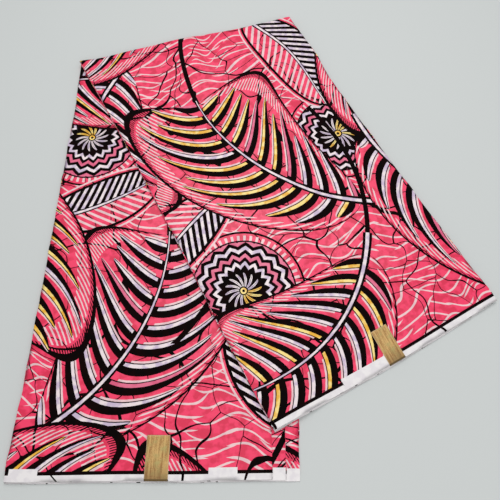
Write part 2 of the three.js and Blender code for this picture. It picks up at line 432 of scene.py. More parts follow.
# A pack as one closed mesh. Its UV map holds metres along the cloth's length and across its width.
def makePack(name, pack):
    random = np.random.default_rng(pack["seed"])
    stations = packStations(pack)
    travel = packRows(pack, stations)
    across = np.broadcast_to(stations, travel.shape)
    rowCount, columnCount = travel.shape
    loop = rimLoop(rowCount, columnCount)
    rimAcross, rimTravel = across[loop[:, 0], loop[:, 1]], travel[loop[:, 0], loop[:, 1]]
    rings = rimPoints(pack, random, loop, rowCount - 1, columnCount - 1, rimAcross, rimTravel)
    inside = packPoint(pack, across, travel, halfPack).reshape(-1, 3)
    outside = packPoint(pack, across, travel, -halfPack).reshape(-1, 3)
    points = np.concatenate([inside, outside, *rings]) + toFrame

    parts = packFaces(loop, rowCount, columnCount)
    allAcross = np.concatenate([across.ravel(), across.ravel(), *[rimAcross] * len(rings)])
    allTravel = np.concatenate([travel.ravel(), travel.ravel(), *[rimTravel] * len(rings)])
    printed = [
        np.stack([start + way * allAcross[part], allTravel[part]], -1)
        for part, (start, way) in zip(parts, partPrints(pack, random))
    ]
    onUpper = (np.arange(len(parts[0])) // (columnCount - 1) >= lowerRows)[:, None]
    baked = [
        leafPlaces(pack, side, allAcross[part], allTravel[part], onUpper)
        for side, part in zip(("inside", "outside"), parts)
    ]
    sides = np.repeat([0, 1, 2, 3], [columnCount - 1, rowCount - 1, columnCount - 1, rowCount - 1])
    baked += [edgePlaces(pack, sides, rimAcross, rimTravel, level) for level in range(layering["levels"])]
    maps = {"clothPlace": np.concatenate(printed), "OFBake": np.concatenate(baked)}
    return makePiece(name, points, np.concatenate(parts), maps)


cloths = {name: makePack(name, pack) for name, pack in packs.items()}
print("cloth folded", {name: len(piece.data.polygons) for name, piece in cloths.items()})


# Colours are sRGB hex values, turned to linear
def linear(hexColour):
    channels = [int(hexColour[start : start + 2], 16) / 255 for start in (1, 3, 5)]
    return (*(c / 12.92 if c <= 0.04045 else ((c + 0.055) / 1.055) ** 2.4 for c in channels), 1)


# Adds a node with its settings and its inputs, each a value or another node's output
def addNode(tree, kind, inputs=None, **settings):
    node = tree.nodes.new(kind)
    for key, value in settings.items():
        setattr(node, key, value)
    for key, value in (inputs or {}).items():
        if isinstance(value, bpy.types.NodeSocket):
            tree.links.new(value, node.inputs[key])
        else:
            node.inputs[key].default_value = value
    return node


# The sockets of a Mix node that mixes colours, by number because their names are shared
mixShare, mixUnder, mixOver, mixResult = 0, 6, 7, 2


# One operation on its operands: numbers, known names, or operations in brackets
def workStep(tree, known, operation, *operands):
    values = {}
    for place, operand in enumerate(operands):
        nested = isinstance(operand, tuple)
        values[place] = workStep(tree, known, *operand) if nested else known.get(operand, operand)
    return addNode(tree, "ShaderNodeMath", values, operation=operation).outputs[0]


# Works out named numbers step by step: each row is a name, an operation and its operands
def workOut(tree, known, steps):
    for name, operation, *operands in steps:
        known[name] = workStep(tree, known, operation, *operands)


# A node group with plain number inputs and outputs
def makeGroup(name, inputs, outputs):
    tree = bpy.data.node_groups.new(name, "ShaderNodeTree")
    for socket in inputs:
        tree.interface.new_socket(socket, in_out="INPUT", socket_type="NodeSocketFloat")
    for socket in outputs:
        tree.interface.new_socket(socket, in_out="OUTPUT", socket_type="NodeSocketFloat")
    entry = tree.nodes.new("NodeGroupInput")
    return tree, {socket: entry.outputs[socket] for socket in inputs}


def finishGroup(tree, known, outputs):
    last = tree.nodes.new("NodeGroupOutput")
    for socket, name in outputs.items():
        tree.links.new(known[name], last.inputs[socket])
    return tree


# The inks of the print, as the numbers that the pattern works with
inks = {"ground": 0, "black": 1, "white": 2, "yellow": 3, "rose": 4, "vein": 5, "bare": 6}


# A random number for each step along a pattern
def hashOf(tree, known, name, first, second, third):
    place = addNode(tree, "ShaderNodeCombineXYZ", {0: known[first], 1: known[second], 2: known[third]})
    noise = addNode(tree, "ShaderNodeTexWhiteNoise", {"Vector": place.outputs[0]}, noise_dimensions="3D")
    known[name] = noise.outputs["Value"]


# Prints one ink over the others where the mask is 1
def printInk(tree, known, mask, ink):
    workOut(tree, known, [("ink", "MULTIPLY_ADD", ("SUBTRACT", ink, "ink"), mask, "ink")])


# How full a frond or leaf is at a place along it, 0 at both ends and 1 in its middle
def addSwell(tree, known, name, place, power):
    workOut(tree, known, [
        ("arch", "MULTIPLY", ("MULTIPLY", place, ("SUBTRACT", 1, place)), 4),
        (name, "POWER", ("MAXIMUM", "arch", 0.0001), power),
    ])


# How a frond is drawn. Its outline, comb, ticks and stem are in millimetres, and a leaflet's parts are
# shares of the spacing between leaflets, except that it tapers by shares of its own length.
frondDrawing = {
    "outlineOut": 1.08,  # how far the outline stands off the leaflets, as a share of their reach
    "outlineHalf": 2.2,
    "combFrom": -22, "combTo": -7, "combsEach": 3, "combWide": 0.38,
    "ticksFrom": -5.5, "ticksEach": 5, "tickWide": 0.45,
    "stagger": 0.25,  # how far the two sides' leaflets are out of step
    "fullness": 0.5,
    "shortest": 0.72, "shortGain": 0.28,
    "tipPower": 0.42, "stemEase": 1.7, "stemWide": 0.55, "stemGain": 0.5,
    "shadowAt": -0.19, "shadowHalf": 0.41,
    "bladeAt": 0.13, "bladeHalf": 0.145, "bladeLine": 0.06, "bladeFrom": 0.08,
    "fellowAt": 0.44, "fellowHalf": 0.06, "fellowFrom": 0.14,
    "stemRoot": 5.6, "stemNarrows": -4.2, "stemFrom": -0.12, "stemTo": 1.02, "stemCore": 0.4,
}


# A frond's own axes, along its bent stem and away from it, and the leaflet that each place belongs to
def addFrondAxes(tree, known):
    workOut(tree, known, [
        ("depth", "SUBTRACT", "bend", "y"),
        ("radius", "SQRT", ("MULTIPLY_ADD", "depth", "depth", ("MULTIPLY", "x", "x"))),
        ("turn", "ARCTAN2", "x", "depth"),
        ("along", "MULTIPLY", "turn", "bend"),
        ("aside", "SUBTRACT", "bend", "radius"),
        ("away", "ABSOLUTE", "aside"),
        ("side", "SIGN", "aside"),
        ("leanBy", "MULTIPLY", ("MULTIPLY_ADD", "away", "curl", "sweep"), "away"),
        ("root", "SUBTRACT", "along", "leanBy"),
        ("count", "DIVIDE", "root", "spacing"),
        ("staggered", "MULTIPLY_ADD", "side", "stagger", "count"),
        ("index", "FLOOR", "staggered"),
        ("beside", "SUBTRACT", ("FRACT", "staggered"), 0.5),
        ("middle", "MULTIPLY", ("ADD", "index", 0.5), "spacing"),
        ("place", "ADD", ("DIVIDE", "middle", "length"), 0.5),
        ("rootPlace", "ADD", ("DIVIDE", "root", "length"), 0.5),
        ("sideSeed", "MULTIPLY_ADD", "side", 7, "seed"),
    ])
    addSwell(tree, known, "swell", "place", "fullness")
    addSwell(tree, known, "rootSwell", "rootPlace", "fullness")
    hashOf(tree, known, "chance", "index", "sideSeed", "seed")
    hashOf(tree, known, "stretch", "index", "seed", "sideSeed")


# A frond's black outline, and the comb of pale rays and the ticks inside it
def addFrondEdge(tree, known):
    workOut(tree, known, [
        ("edge", "MULTIPLY", ("MULTIPLY", "reach", "rootSwell"), "outlineOut"),
        ("edgeGap", "SUBTRACT", "away", "edge"),
        ("rim", "COMPARE", "edgeGap", 0, "outlineHalf"),
        ("combRay", "LESS_THAN", ("FRACT", ("MULTIPLY", "count", "combsEach")), "combWide"),
        ("combStart", "GREATER_THAN", "edgeGap", "combFrom"),
        ("combZone", "MULTIPLY", "combStart", ("LESS_THAN", "edgeGap", "combTo")),
        ("tickRay", "LESS_THAN", ("FRACT", ("MULTIPLY", "count", "ticksEach")), "tickWide"),
        ("tick", "MULTIPLY", "tickRay", ("GREATER_THAN", "edgeGap", "ticksFrom")),
        ("ink", "MULTIPLY_ADD", ("MULTIPLY", "combRay", "combZone"), inks["vein"], "tick"),
    ])
    printInk(tree, known, "rim", inks["black"])


# A frond's leaflets, over their black shadows: each has a pale line beside it and a black line round it
def addLeaflets(tree, known):
    workOut(tree, known, [
        ("stretched", "MULTIPLY_ADD", "stretch", "shortGain", "shortest"),
        ("out", "DIVIDE", "away", ("MULTIPLY", ("MULTIPLY", "reach", "swell"), "stretched")),
        ("tipTaper", "POWER", ("MAXIMUM", ("SUBTRACT", 1, "out"), 0), "tipPower"),
        ("stemShare", "MINIMUM", ("MULTIPLY", "out", "stemEase"), 1),
        ("taper", "MULTIPLY", "tipTaper", ("MULTIPLY_ADD", "stemShare", "stemGain", "stemWide")),
        ("inLength", "MULTIPLY", ("GREATER_THAN", "place", 0), ("LESS_THAN", "place", 1)),
        ("leaflet", "MULTIPLY", ("LESS_THAN", "out", 1), "inLength"),
        ("shadowMiddle", "MULTIPLY", "taper", "shadowAt"),
        ("shadow", "COMPARE", "beside", "shadowMiddle", ("MULTIPLY", "taper", "shadowHalf")),
        ("shadowShown", "MULTIPLY", "shadow", "leaflet"),
        ("bladeMiddle", "MULTIPLY", "taper", "bladeAt"),
        ("bladeWide", "MULTIPLY", "taper", "bladeHalf"),
        ("line", "COMPARE", "beside", "bladeMiddle", ("ADD", "bladeWide", "bladeLine")),
        ("lineShown", "MULTIPLY", "line", "leaflet"),
        ("blade", "COMPARE", "beside", "bladeMiddle", "bladeWide"),
        ("bladeHere", "MULTIPLY", "blade", ("GREATER_THAN", "out", "bladeFrom")),
        ("bladeShown", "MULTIPLY", "bladeHere", "leaflet"),
        ("fellow", "COMPARE", "beside", ("MULTIPLY", "taper", "fellowAt"), "fellowHalf"),
        ("fellowHere", "MULTIPLY", "fellow", ("GREATER_THAN", "out", "fellowFrom")),
        ("fellowShown", "MULTIPLY", "fellowHere", "leaflet"),
        ("yellowStep", "ADD", ("LESS_THAN", "chance", ("ADD", "rose", "yellow")), inks["white"]),
        ("bladeInk", "ADD", "yellowStep", ("LESS_THAN", "chance", "rose")),
    ])
    printInk(tree, known, "shadowShown", inks["black"])
    printInk(tree, known, "fellowShown", inks["vein"])
    printInk(tree, known, "lineShown", inks["black"])
    printInk(tree, known, "bladeShown", "bladeInk")


# A frond's black stem with its white core, and all that the frond covers
def addStem(tree, known):
    workOut(tree, known, [
        ("stemPlace", "ADD", ("DIVIDE", "along", "length"), 0.5),
        ("stemStart", "GREATER_THAN", "stemPlace", "stemFrom"),
        ("stemRun", "MULTIPLY", "stemStart", ("LESS_THAN", "stemPlace", "stemTo")),
        ("stemHalf", "MULTIPLY_ADD", "stemPlace", "stemNarrows", "stemRoot"),
        ("stem", "MULTIPLY", ("LESS_THAN", "away", "stemHalf"), "stemRun"),
        ("core", "MULTIPLY", ("LESS_THAN", "away", ("MULTIPLY", "stemHalf", "stemCore")), "stem"),
        ("cover", "MAXIMUM", ("LESS_THAN", "edgeGap", "outlineHalf"), "stem"),
    ])
    printInk(tree, known, "stem", inks["black"])
    printInk(tree, known, "core", inks["white"])


# A palm frond on a curved stem: tapering leaflets lean forward from both sides of it, inside an outline
# with a comb of pale rays
def frondGroup():
    inputs = ("x", "y", "length", "bend", "reach", "spacing", "sweep", "curl", "yellow", "rose", "seed")
    tree, known = makeGroup("frond", inputs, ("ink", "cover"))
    known.update(frondDrawing)
    addFrondAxes(tree, known)
    addFrondEdge(tree, known)
    addLeaflets(tree, known)
    addStem(tree, known)
    return finishGroup(tree, known, {"ink": "ink", "cover": "cover"})


# How a medallion is drawn: shares of its radius, and of a petal's spacing and length
medallionDrawing = {
    "petalPower": 0.45, "petalAt": -0.08, "petalHalf": 0.36, "petalFrom": 0.24, "creaseHalf": 0.06,
    "heartTo": 0.17, "heartDotTo": 0.08,
    "toothRise": 2.4,  # in rows of zigzags
    "ringsTo": 0.94,
    "bandFrom": 0.97, "raysEach": 3, "rayWide": 0.42, "raysTo": 1.07,
    "rimFrom": 1.11, "rimTo": 1.15,
}


# A medallion's swirling petals, each with a crease, and the heart in their middle
def addPetals(tree, known):
    workOut(tree, known, [
        ("petalCount", "MULTIPLY", ("MULTIPLY_ADD", "r", "swirl", "share"), "petals"),
        ("petalWrapped", "WRAP", "petalCount", "petals", 0),
        ("index", "FLOOR", "petalWrapped"),
        ("beside", "SUBTRACT", ("FRACT", "petalWrapped"), 0.5),
    ])
    hashOf(tree, known, "chance", "index", "seed", "seed")
    workOut(tree, known, [
        ("out", "DIVIDE", "r", "core"),
        ("taper", "POWER", ("MAXIMUM", ("SUBTRACT", 1, "out"), 0), "petalPower"),
        ("petalMiddle", "MULTIPLY", "taper", "petalAt"),
        ("petalWide", "COMPARE", "beside", "petalMiddle", ("MULTIPLY", "taper", "petalHalf")),
        ("petal", "MULTIPLY", "petalWide", ("GREATER_THAN", "out", "petalFrom")),
        ("crease", "COMPARE", "beside", "petalMiddle", ("MULTIPLY", "taper", "creaseHalf")),
        ("petalInk", "ADD", ("LESS_THAN", "chance", "yellow"), inks["white"]),
        ("heart", "LESS_THAN", "out", "heartTo"),
        ("heartDot", "LESS_THAN", "out", "heartDotTo"),
    ])
    printInk(tree, known, "petal", "petalInk")
    printInk(tree, known, "crease", inks["black"])
    printInk(tree, known, "heart", inks["yellow"])
    printInk(tree, known, "heartDot", inks["black"])


# A medallion's rings of zigzags, rose and white by turns with black between, its rays and its black rim
def addRings(tree, known):
    workOut(tree, known, [
        ("ringPlace", "MULTIPLY", "share", "teeth"),
        ("rise", "MULTIPLY", "row", "toothRise"),
        ("ringRun", "MULTIPLY_ADD", ("PINGPONG", "ringPlace", 0.5), "rise", "r"),
        ("ringFrom", "SUBTRACT", "ringRun", "core"),
        ("ringIndex", "FLOOR", ("DIVIDE", "ringFrom", "row")),
        ("ringPale", "LESS_THAN", ("WRAP", "ringIndex", 2, 0), 0.5),
        ("ringRose", "LESS_THAN", ("WRAP", "ringIndex", 4, 0), 1.5),
        ("roseStep", "MULTIPLY", "ringRose", inks["rose"] - inks["white"]),
        ("ringStep", "ADD", "roseStep", inks["white"] - inks["black"]),
        ("ringInk", "MULTIPLY_ADD", "ringStep", "ringPale", inks["black"]),
        ("ring", "MULTIPLY", ("GREATER_THAN", "ringFrom", "row"), ("LESS_THAN", "r", "ringsTo")),
        ("band", "GREATER_THAN", "r", "bandFrom"),
        ("ray", "LESS_THAN", ("FRACT", ("MULTIPLY", "ringPlace", "raysEach")), "rayWide"),
        ("rayLong", "MULTIPLY", "ray", ("LESS_THAN", "r", "raysTo")),
        ("rayShown", "MULTIPLY", "rayLong", "band"),
        ("rim", "GREATER_THAN", "r", "rimFrom"),
    ])
    printInk(tree, known, "ring", "ringInk")
    printInk(tree, known, "band", inks["ground"])
    printInk(tree, known, "rayShown", inks["vein"])
    printInk(tree, known, "rim", inks["black"])


# A round medallion on black: swirling petals, rings of zigzags and a rim with rays inside it
def medallionGroup():
    inputs = ("x", "y", "size", "petals", "swirl", "core", "teeth", "row", "yellow", "seed")
    tree, known = makeGroup("medallion", inputs, ("ink", "cover"))
    known.update(medallionDrawing)
    workOut(tree, known, [
        ("distance", "SQRT", ("MULTIPLY_ADD", "y", "y", ("MULTIPLY", "x", "x"))),
        ("r", "DIVIDE", "distance", "size"),
        ("share", "DIVIDE", ("ARCTAN2", "y", "x"), 2 * np.pi),
        ("cover", "LESS_THAN", "r", "rimTo"),
        ("ink", "MULTIPLY", "cover", inks["black"]),
    ])
    addPetals(tree, known)
    addRings(tree, known)
    return finishGroup(tree, known, {"ink": "ink", "cover": "cover"})


# How a ribbed leaf is drawn: millimetres from its edge and its midrib, and shares of a rib's spacing
leafDrawing = {
    "fullness": 0.62, "ribSlant": -0.9, "darkWide": 0.54, "fineWide": 0.4,
    "rimAt": 1, "rimHalf": 1.9, "outerAt": 6.5, "outerHalf": 1.3, "marginTo": 7.8,
    "midribRoot": 4.2, "midribNarrows": -2.6, "midribCore": 0.45,
}


# A ribbed leaf: striped in white and black on one side of its midrib, in pale rays on the other
def leafGroup():
    inputs = ("x", "y", "length", "width", "curve", "spacing")
    tree, known = makeGroup("leaf", inputs, ("ink", "cover"))
    known.update(leafDrawing)
    workOut(tree, known, [("place", "ADD", ("DIVIDE", "x", "length"), 0.5)])
    addSwell(tree, known, "swell", "place", "fullness")
    workOut(tree, known, [
        ("aside", "SUBTRACT", "y", ("MULTIPLY", "arch", "curve")),
        ("away", "ABSOLUTE", "aside"),
        ("gap", "SUBTRACT", "away", ("MULTIPLY", "width", "swell")),
        ("inLength", "MULTIPLY", ("GREATER_THAN", "place", 0), ("LESS_THAN", "place", 1)),
        ("ribRun", "MULTIPLY_ADD", "away", "ribSlant", "x"),
        ("ribFraction", "FRACT", ("DIVIDE", "ribRun", "spacing")),
        ("boldInk", "SUBTRACT", inks["white"], ("LESS_THAN", "ribFraction", "darkWide")),
        ("fineInk", "MULTIPLY", ("LESS_THAN", "ribFraction", "fineWide"), inks["vein"]),
        ("sideGain", "SUBTRACT", "boldInk", "fineInk"),
        ("ink", "MULTIPLY_ADD", "sideGain", ("GREATER_THAN", "aside", 0), "fineInk"),
        ("rim", "MULTIPLY", ("COMPARE", "gap", "rimAt", "rimHalf"), "inLength"),
        ("outer", "MULTIPLY", ("COMPARE", "gap", "outerAt", "outerHalf"), "inLength"),
        ("margin", "MULTIPLY", ("LESS_THAN", "gap", "marginTo"), "inLength"),
        ("body", "MULTIPLY", ("LESS_THAN", "gap", 0), "inLength"),
        ("bare", "MULTIPLY", "margin", ("SUBTRACT", 1, "body")),
        ("ribHalf", "MULTIPLY_ADD", "place", "midribNarrows", "midribRoot"),
        ("midrib", "MULTIPLY", ("LESS_THAN", "away", "ribHalf"), "inLength"),
        ("core", "MULTIPLY", ("LESS_THAN", "away", ("MULTIPLY", "ribHalf", "midribCore")), "inLength"),
    ])
    printInk(tree, known, "bare", inks["ground"])
    printInk(tree, known, "outer", inks["vein"])
    printInk(tree, known, "rim", inks["black"])
    printInk(tree, known, "midrib", inks["black"])
    printInk(tree, known, "core", inks["white"])
    return finishGroup(tree, known, {"ink": "ink", "cover": "margin"})


# Where the motifs lie in one repeat of the print, in millimetres; turn is in degrees
printing = {
    "repeat": (474.0, 585.0),  # along the cloth's length, and half its width
    "waver": 0.35,  # how far the wax resist's edge wanders
    "waverEvery": 3.846,  # the size of its wanderings, also in millimetres
    "medallion": (
        {"at": (395, 300), "size": 62, "petals": 16, "swirl": 0.16, "core": 0.42, "teeth": 18, "row": 0.075,
         "yellow": 0.3, "seed": 3},
        {"at": (150, 440), "size": 68, "petals": 14, "swirl": -0.2, "core": 0.34, "teeth": 18, "row": 0.075,
         "yellow": 0.2, "seed": 8},
    ),
    "leaf": (
        {"at": (400, 150), "turn": 100, "length": 200, "width": 40, "curve": 12, "spacing": 12},
        {"at": (180, 345), "turn": 25, "length": 170, "width": 34, "curve": -10, "spacing": 11},
    ),
    "frond": (
        {"at": (240, 150), "turn": 62, "length": 285, "bend": 270, "reach": 102, "spacing": 24,
         "sweep": 0.15, "curl": 0.0085, "yellow": 0.0, "rose": 0.1, "seed": 1},
        {"at": (45, 300), "turn": -62, "flip": -1, "length": 285, "bend": 280, "reach": 102, "spacing": 24,
         "sweep": 0.2, "curl": 0.008, "yellow": 0.55, "rose": 0.1, "seed": 2},
        {"at": (330, 440), "turn": 118, "length": 260, "bend": 250, "reach": 94, "spacing": 23,
         "sweep": 0.15, "curl": 0.009, "yellow": 0.0, "rose": 0.15, "seed": 5},
        {"at": (85, 535), "turn": 20, "flip": -1, "length": 240, "bend": 240, "reach": 88, "spacing": 22,
         "sweep": 0.2, "curl": 0.009, "yellow": 0.5, "rose": 0.1, "seed": 7},
    ),
}


# The position from a motif's middle, in the nearest repeat, turned to its own axes
def motifPlace(tree, known, motif):
    angle = np.radians(motif.get("turn", 0))
    flip = motif.get("flip", 1)
    repeatX, repeatY = printing["repeat"]
    places = dict(known)
    workOut(tree, places, [
        ("nearX", "WRAP", ("SUBTRACT", "u", motif["at"][0]), repeatX / 2, -repeatX / 2),
        ("nearY", "WRAP", ("SUBTRACT", "v", motif["at"][1]), repeatY / 2, -repeatY / 2),
        ("x", "MULTIPLY_ADD", "nearY", np.sin(angle), ("MULTIPLY", "nearX", np.cos(angle))),
        ("yFirst", "MULTIPLY", "nearX", -np.sin(angle) * flip),
        ("y", "MULTIPLY_ADD", "nearY", np.cos(angle) * flip, "yFirst"),
    ])
    return {"x": places["x"], "y": places["y"]}


# Prints a motif over what is there, and keeps count of the ground that is still open
def addMotif(tree, known, group, motif):
    sizes = {name: value for name, value in motif.items() if name not in ("at", "turn", "flip")}
    node = addNode(tree, "ShaderNodeGroup", node_tree=group)
    for name, value in sizes.items():
        node.inputs[name].default_value = value
    for name, place in motifPlace(tree, known, motif).items():
        tree.links.new(place, node.inputs[name])
    known["motifInk"], known["motifCover"] = node.outputs["ink"], node.outputs["cover"]
    printInk(tree, known, "motifCover", "motifInk")
    workOut(tree, known, [("open", "MULTIPLY", "open", ("SUBTRACT", 1, "motifCover"))])


# How the ground is drawn, in millimetres. Two noises bend it and break it up. Each family of pale waves
# swings to and fro, and is as wide, in shares of its spacing, as the second noise leaves it room.
groundDrawing = {
    "bendsEvery": 90, "breaksEvery": 36, "uBend": 34, "vBend": 60,
    "fineCrackCell": 44.0, "fineCrackHalf": 0.015, "boldCrackCell": 105.0, "boldCrackHalf": 0.013,
    "waves": (
        {"every": 14.5, "swing": 8.0, "swingEvery": 105, "sway": 7.0, "slope": 0.0,
         "room": 0.36, "widening": 0.6, "widest": 0.085},
        {"every": 17.0, "swing": -9.0, "swingEvery": 88, "sway": 1.0, "slope": 0.16,
         "room": 0.6, "widening": -0.6, "widest": 0.072},
    ),
}


# The ground: broken pale waves that cross each other, and fine black cracks
def addGround(tree, known):
    known.update(groundDrawing)
    place = addNode(tree, "ShaderNodeCombineXYZ", {0: known["u"], 1: known["v"]}).outputs[0]
    for name in ("bends", "breaks"):
        inputs = {"Vector": place, "Scale": 1 / groundDrawing[name + "Every"], "Detail": 0.0}
        known[name] = addNode(tree, "ShaderNodeTexNoise", inputs, noise_dimensions="2D").outputs[0]
    workOut(tree, known, [
        ("uBent", "MULTIPLY_ADD", "breaks", "uBend", "u"),
        ("vBent", "MULTIPLY_ADD", "bends", "vBend", "v"),
    ])
    bent = addNode(tree, "ShaderNodeCombineXYZ", {0: known["uBent"], 1: known["vBent"]}).outputs[0]
    for name in ("fineCrack", "boldCrack"):
        inputs = {"Vector": bent, "Scale": 1 / groundDrawing[name + "Cell"], "Randomness": 1.0}
        settings = {"feature": "DISTANCE_TO_EDGE", "voronoi_dimensions": "2D"}
        net = addNode(tree, "ShaderNodeTexVoronoi", inputs, **settings)
        known[name] = net.outputs["Distance"]
    known["vein"] = 0
    for wave in groundDrawing["waves"]:
        known.update(wave)
        known["swingTurn"] = 2 * np.pi / wave["swingEvery"]
        workOut(tree, known, [
            ("swung", "SINE", ("MULTIPLY_ADD", "u", "swingTurn", ("MULTIPLY", "bends", "sway"))),
            ("run", "MULTIPLY_ADD", "u", "slope", ("MULTIPLY_ADD", "swung", "swing", "v")),
            ("wide", "MINIMUM", ("MULTIPLY", ("SUBTRACT", "breaks", "room"), "widening"), "widest"),
            ("waveShown", "LESS_THAN", ("PINGPONG", ("DIVIDE", "run", "every"), 0.5), "wide"),
            ("vein", "MAXIMUM", "vein", "waveShown"),
        ])
    workOut(tree, known, [
        ("boldShown", "LESS_THAN", "boldCrack", "boldCrackHalf"),
        ("crackShown", "MAXIMUM", ("LESS_THAN", "fineCrack", "fineCrackHalf"), "boldShown"),
        ("ink", "MULTIPLY", "vein", inks["vein"]),
    ])


# The cracks run through bare ground and pale waves alike, inside the motifs too
def addCracks(tree, known):
    workOut(tree, known, [
        ("onWave", "MULTIPLY", "vein", "open"),
        ("crackRoom", "MAXIMUM", ("COMPARE", "ink", inks["ground"], 0.5), "onWave"),
        ("crackHere", "MULTIPLY", "crackShown", "crackRoom"),
    ])
    printInk(tree, known, "crackHere", inks["black"])


# Where the cloth is printed, in millimetres along its length and across its width: clean for the woven
# edges, and wavering a little for the wax resist
def addClothPlaces(tree, known, place):
    split = addNode(tree, "ShaderNodeSeparateXYZ", {0: place})
    noiseInputs = {"Vector": place, "Scale": 1 / (printing["waverEvery"] * mm), "Detail": 1.0}
    noise = addNode(tree, "ShaderNodeTexNoise", noiseInputs)
    smudge = addNode(tree, "ShaderNodeSeparateColor", {0: noise.outputs["Color"]})
    known.update(lengthwise=split.outputs[0], crosswise=split.outputs[1])
    known.update(smudgeX=smudge.outputs[0], smudgeY=smudge.outputs[1])
    waver = 2 * printing["waver"]
    workOut(tree, known, [
        ("uClean", "MULTIPLY", "lengthwise", 1 / mm),
        ("vClean", "MULTIPLY", "crosswise", 1 / mm),
        ("u", "SUBTRACT", ("MULTIPLY_ADD", "smudgeX", waver, "uClean"), waver / 2),
        ("v", "SUBTRACT", ("MULTIPLY_ADD", "smudgeY", waver, "vClean"), waver / 2),
    ])


# The dyes, each in the two shades that it mottles between
dyes = {
    "ground": ("#F83A67", "#DE234E"),
    "black": ("#060101", "#100202"),
    "white": ("#F0E1E3", "#CAB7CF"),
    "yellow": ("#FADF86", "#ECB02C"),
    "rose": ("#E56A8C", "#D9547A"),
    "vein": ("#F0CCCE", "#E2BEC2"),
    "bare": ("#EEEAEA", "#E4DFE2"),
}
# The mottling: its patches' size in millimetres, and the noise values between which the shades turn
mottling = {"every": 10.526, "from": 0.44, "to": 0.58}


# The colour of each ink, mottled between its two shades
def addDyes(tree, known, place, shader):
    noiseInputs = {"Vector": place, "Scale": 1 / (mottling["every"] * mm), "Detail": 2.0}
    patches = addNode(tree, "ShaderNodeTexNoise", noiseInputs).outputs[0]
    edge = {0: patches, 1: mottling["from"], 2: mottling["to"]}
    known["mottle"] = addNode(tree, "ShaderNodeMapRange", edge).outputs[0]
    colour = linear(dyes["ground"][0])
    for ink, number in inks.items():
        first, second = (linear(shade) for shade in dyes[ink])
        shades = {mixShare: known["mottle"], mixUnder: first, mixOver: second}
        dye = addNode(tree, "ShaderNodeMix", shades, data_type="RGBA").outputs[mixResult]
        here = workStep(tree, known, "COMPARE", "ink", number, 0.5)
        layers = {mixShare: here, mixUnder: colour, mixOver: dye}
        colour = addNode(tree, "ShaderNodeMix", layers, data_type="RGBA").outputs[mixResult]
    tree.links.new(colour, shader.inputs["Base Color"])


# The cotton's face: how rough and glossy it is, and what its mottling and the black dye add to that. The
# threads of such cotton lie 0.35 mm apart, which would not show, so the bump draws them 0.9 mm apart.
cottonFace = {
    "roughness": 0.39, "mottleRougher": 0.05, "blackRougher": 0.3,
    "specular": 0.52, "blackGlossier": -0.47,
    "threadSpacing": 0.9, "weaveStrength": 0.12, "weaveDepth": 0.4,
}


# Pressing gives the cotton a low sheen, and the black dye dulls it
def addSheen(tree, known, shader):
    known.update(cottonFace)
    workOut(tree, known, [
        ("isBlack", "COMPARE", "ink", inks["black"], 0.5),
        ("pressed", "MULTIPLY_ADD", "mottle", "mottleRougher", "roughness"),
        ("rough", "MULTIPLY_ADD", "isBlack", "blackRougher", "pressed"),
        ("gloss", "MULTIPLY_ADD", "isBlack", "blackGlossier", "specular"),
    ])
    tree.links.new(known["rough"], shader.inputs["Roughness"])
    tree.links.new(known["gloss"], shader.inputs["Specular IOR Level"])


def addWeave(tree, known, shader):
    known["threadTurn"] = np.pi / cottonFace["threadSpacing"]
    workOut(tree, known, [
        ("warp", "SINE", ("MULTIPLY", "uClean", "threadTurn")),
        ("weave", "MULTIPLY", "warp", ("SINE", ("MULTIPLY", "vClean", "threadTurn"))),
    ])
    strength, depth = cottonFace["weaveStrength"], cottonFace["weaveDepth"] * mm
    relief = {"Strength": strength, "Distance": depth, "Height": known["weave"]}
    tree.links.new(addNode(tree, "ShaderNodeBump", relief).outputs[0], shader.inputs["Normal"])


# The woven edges in millimetres: bands, and the bare places along each edge of the cloth
selvedge = {
    "white": 6.2, "line": 3.6, "box": 12.6,
    "nearEvery": 214.0, "nearStart": 122.0, "nearWide": 31.0,
    "farEvery": 240.0, "farStart": 38.0, "farWide": 63.0, "farReach": 100,
}


# The woven edges: white outside a black line, with bare places in the line
def addSelvedge(tree, known):
    known.update(selvedge)
    more = {size: selvedge["far" + size] - selvedge["near" + size] for size in ("Every", "Start", "Wide")}
    workOut(tree, known, [
        ("fromFar", "SUBTRACT", folding["clothWidth"] / mm, "vClean"),
        ("fromEdge", "MINIMUM", "vClean", "fromFar"),
        ("inLine", "LESS_THAN", "fromEdge", selvedge["white"] + selvedge["line"]),
        ("onFar", "LESS_THAN", "fromFar", "farReach"),
        ("boxWide", "MULTIPLY_ADD", "onFar", more["Wide"], "nearWide"),
        ("boxEvery", "MULTIPLY_ADD", "onFar", more["Every"], "nearEvery"),
        ("boxFrom", "MULTIPLY_ADD", "onFar", -more["Start"], "uClean"),
        ("boxRun", "WRAP", ("SUBTRACT", "boxFrom", "nearStart"), "boxEvery", 0),
        ("inBox", "MULTIPLY", ("LESS_THAN", "boxRun", "boxWide"), ("LESS_THAN", "fromEdge", "box")),
        ("inWhite", "LESS_THAN", "fromEdge", "white"),
        ("bare", "MAXIMUM", "inWhite", "inBox"),
        ("bled", "MULTIPLY", ("MULTIPLY", "boldShown", ("SUBTRACT", 1, "inBox")), "inWhite"),
    ])
    printInk(tree, known, "inLine", inks["black"])
    printInk(tree, known, "bare", inks["bare"])
    printInk(tree, known, "bled", inks["black"])


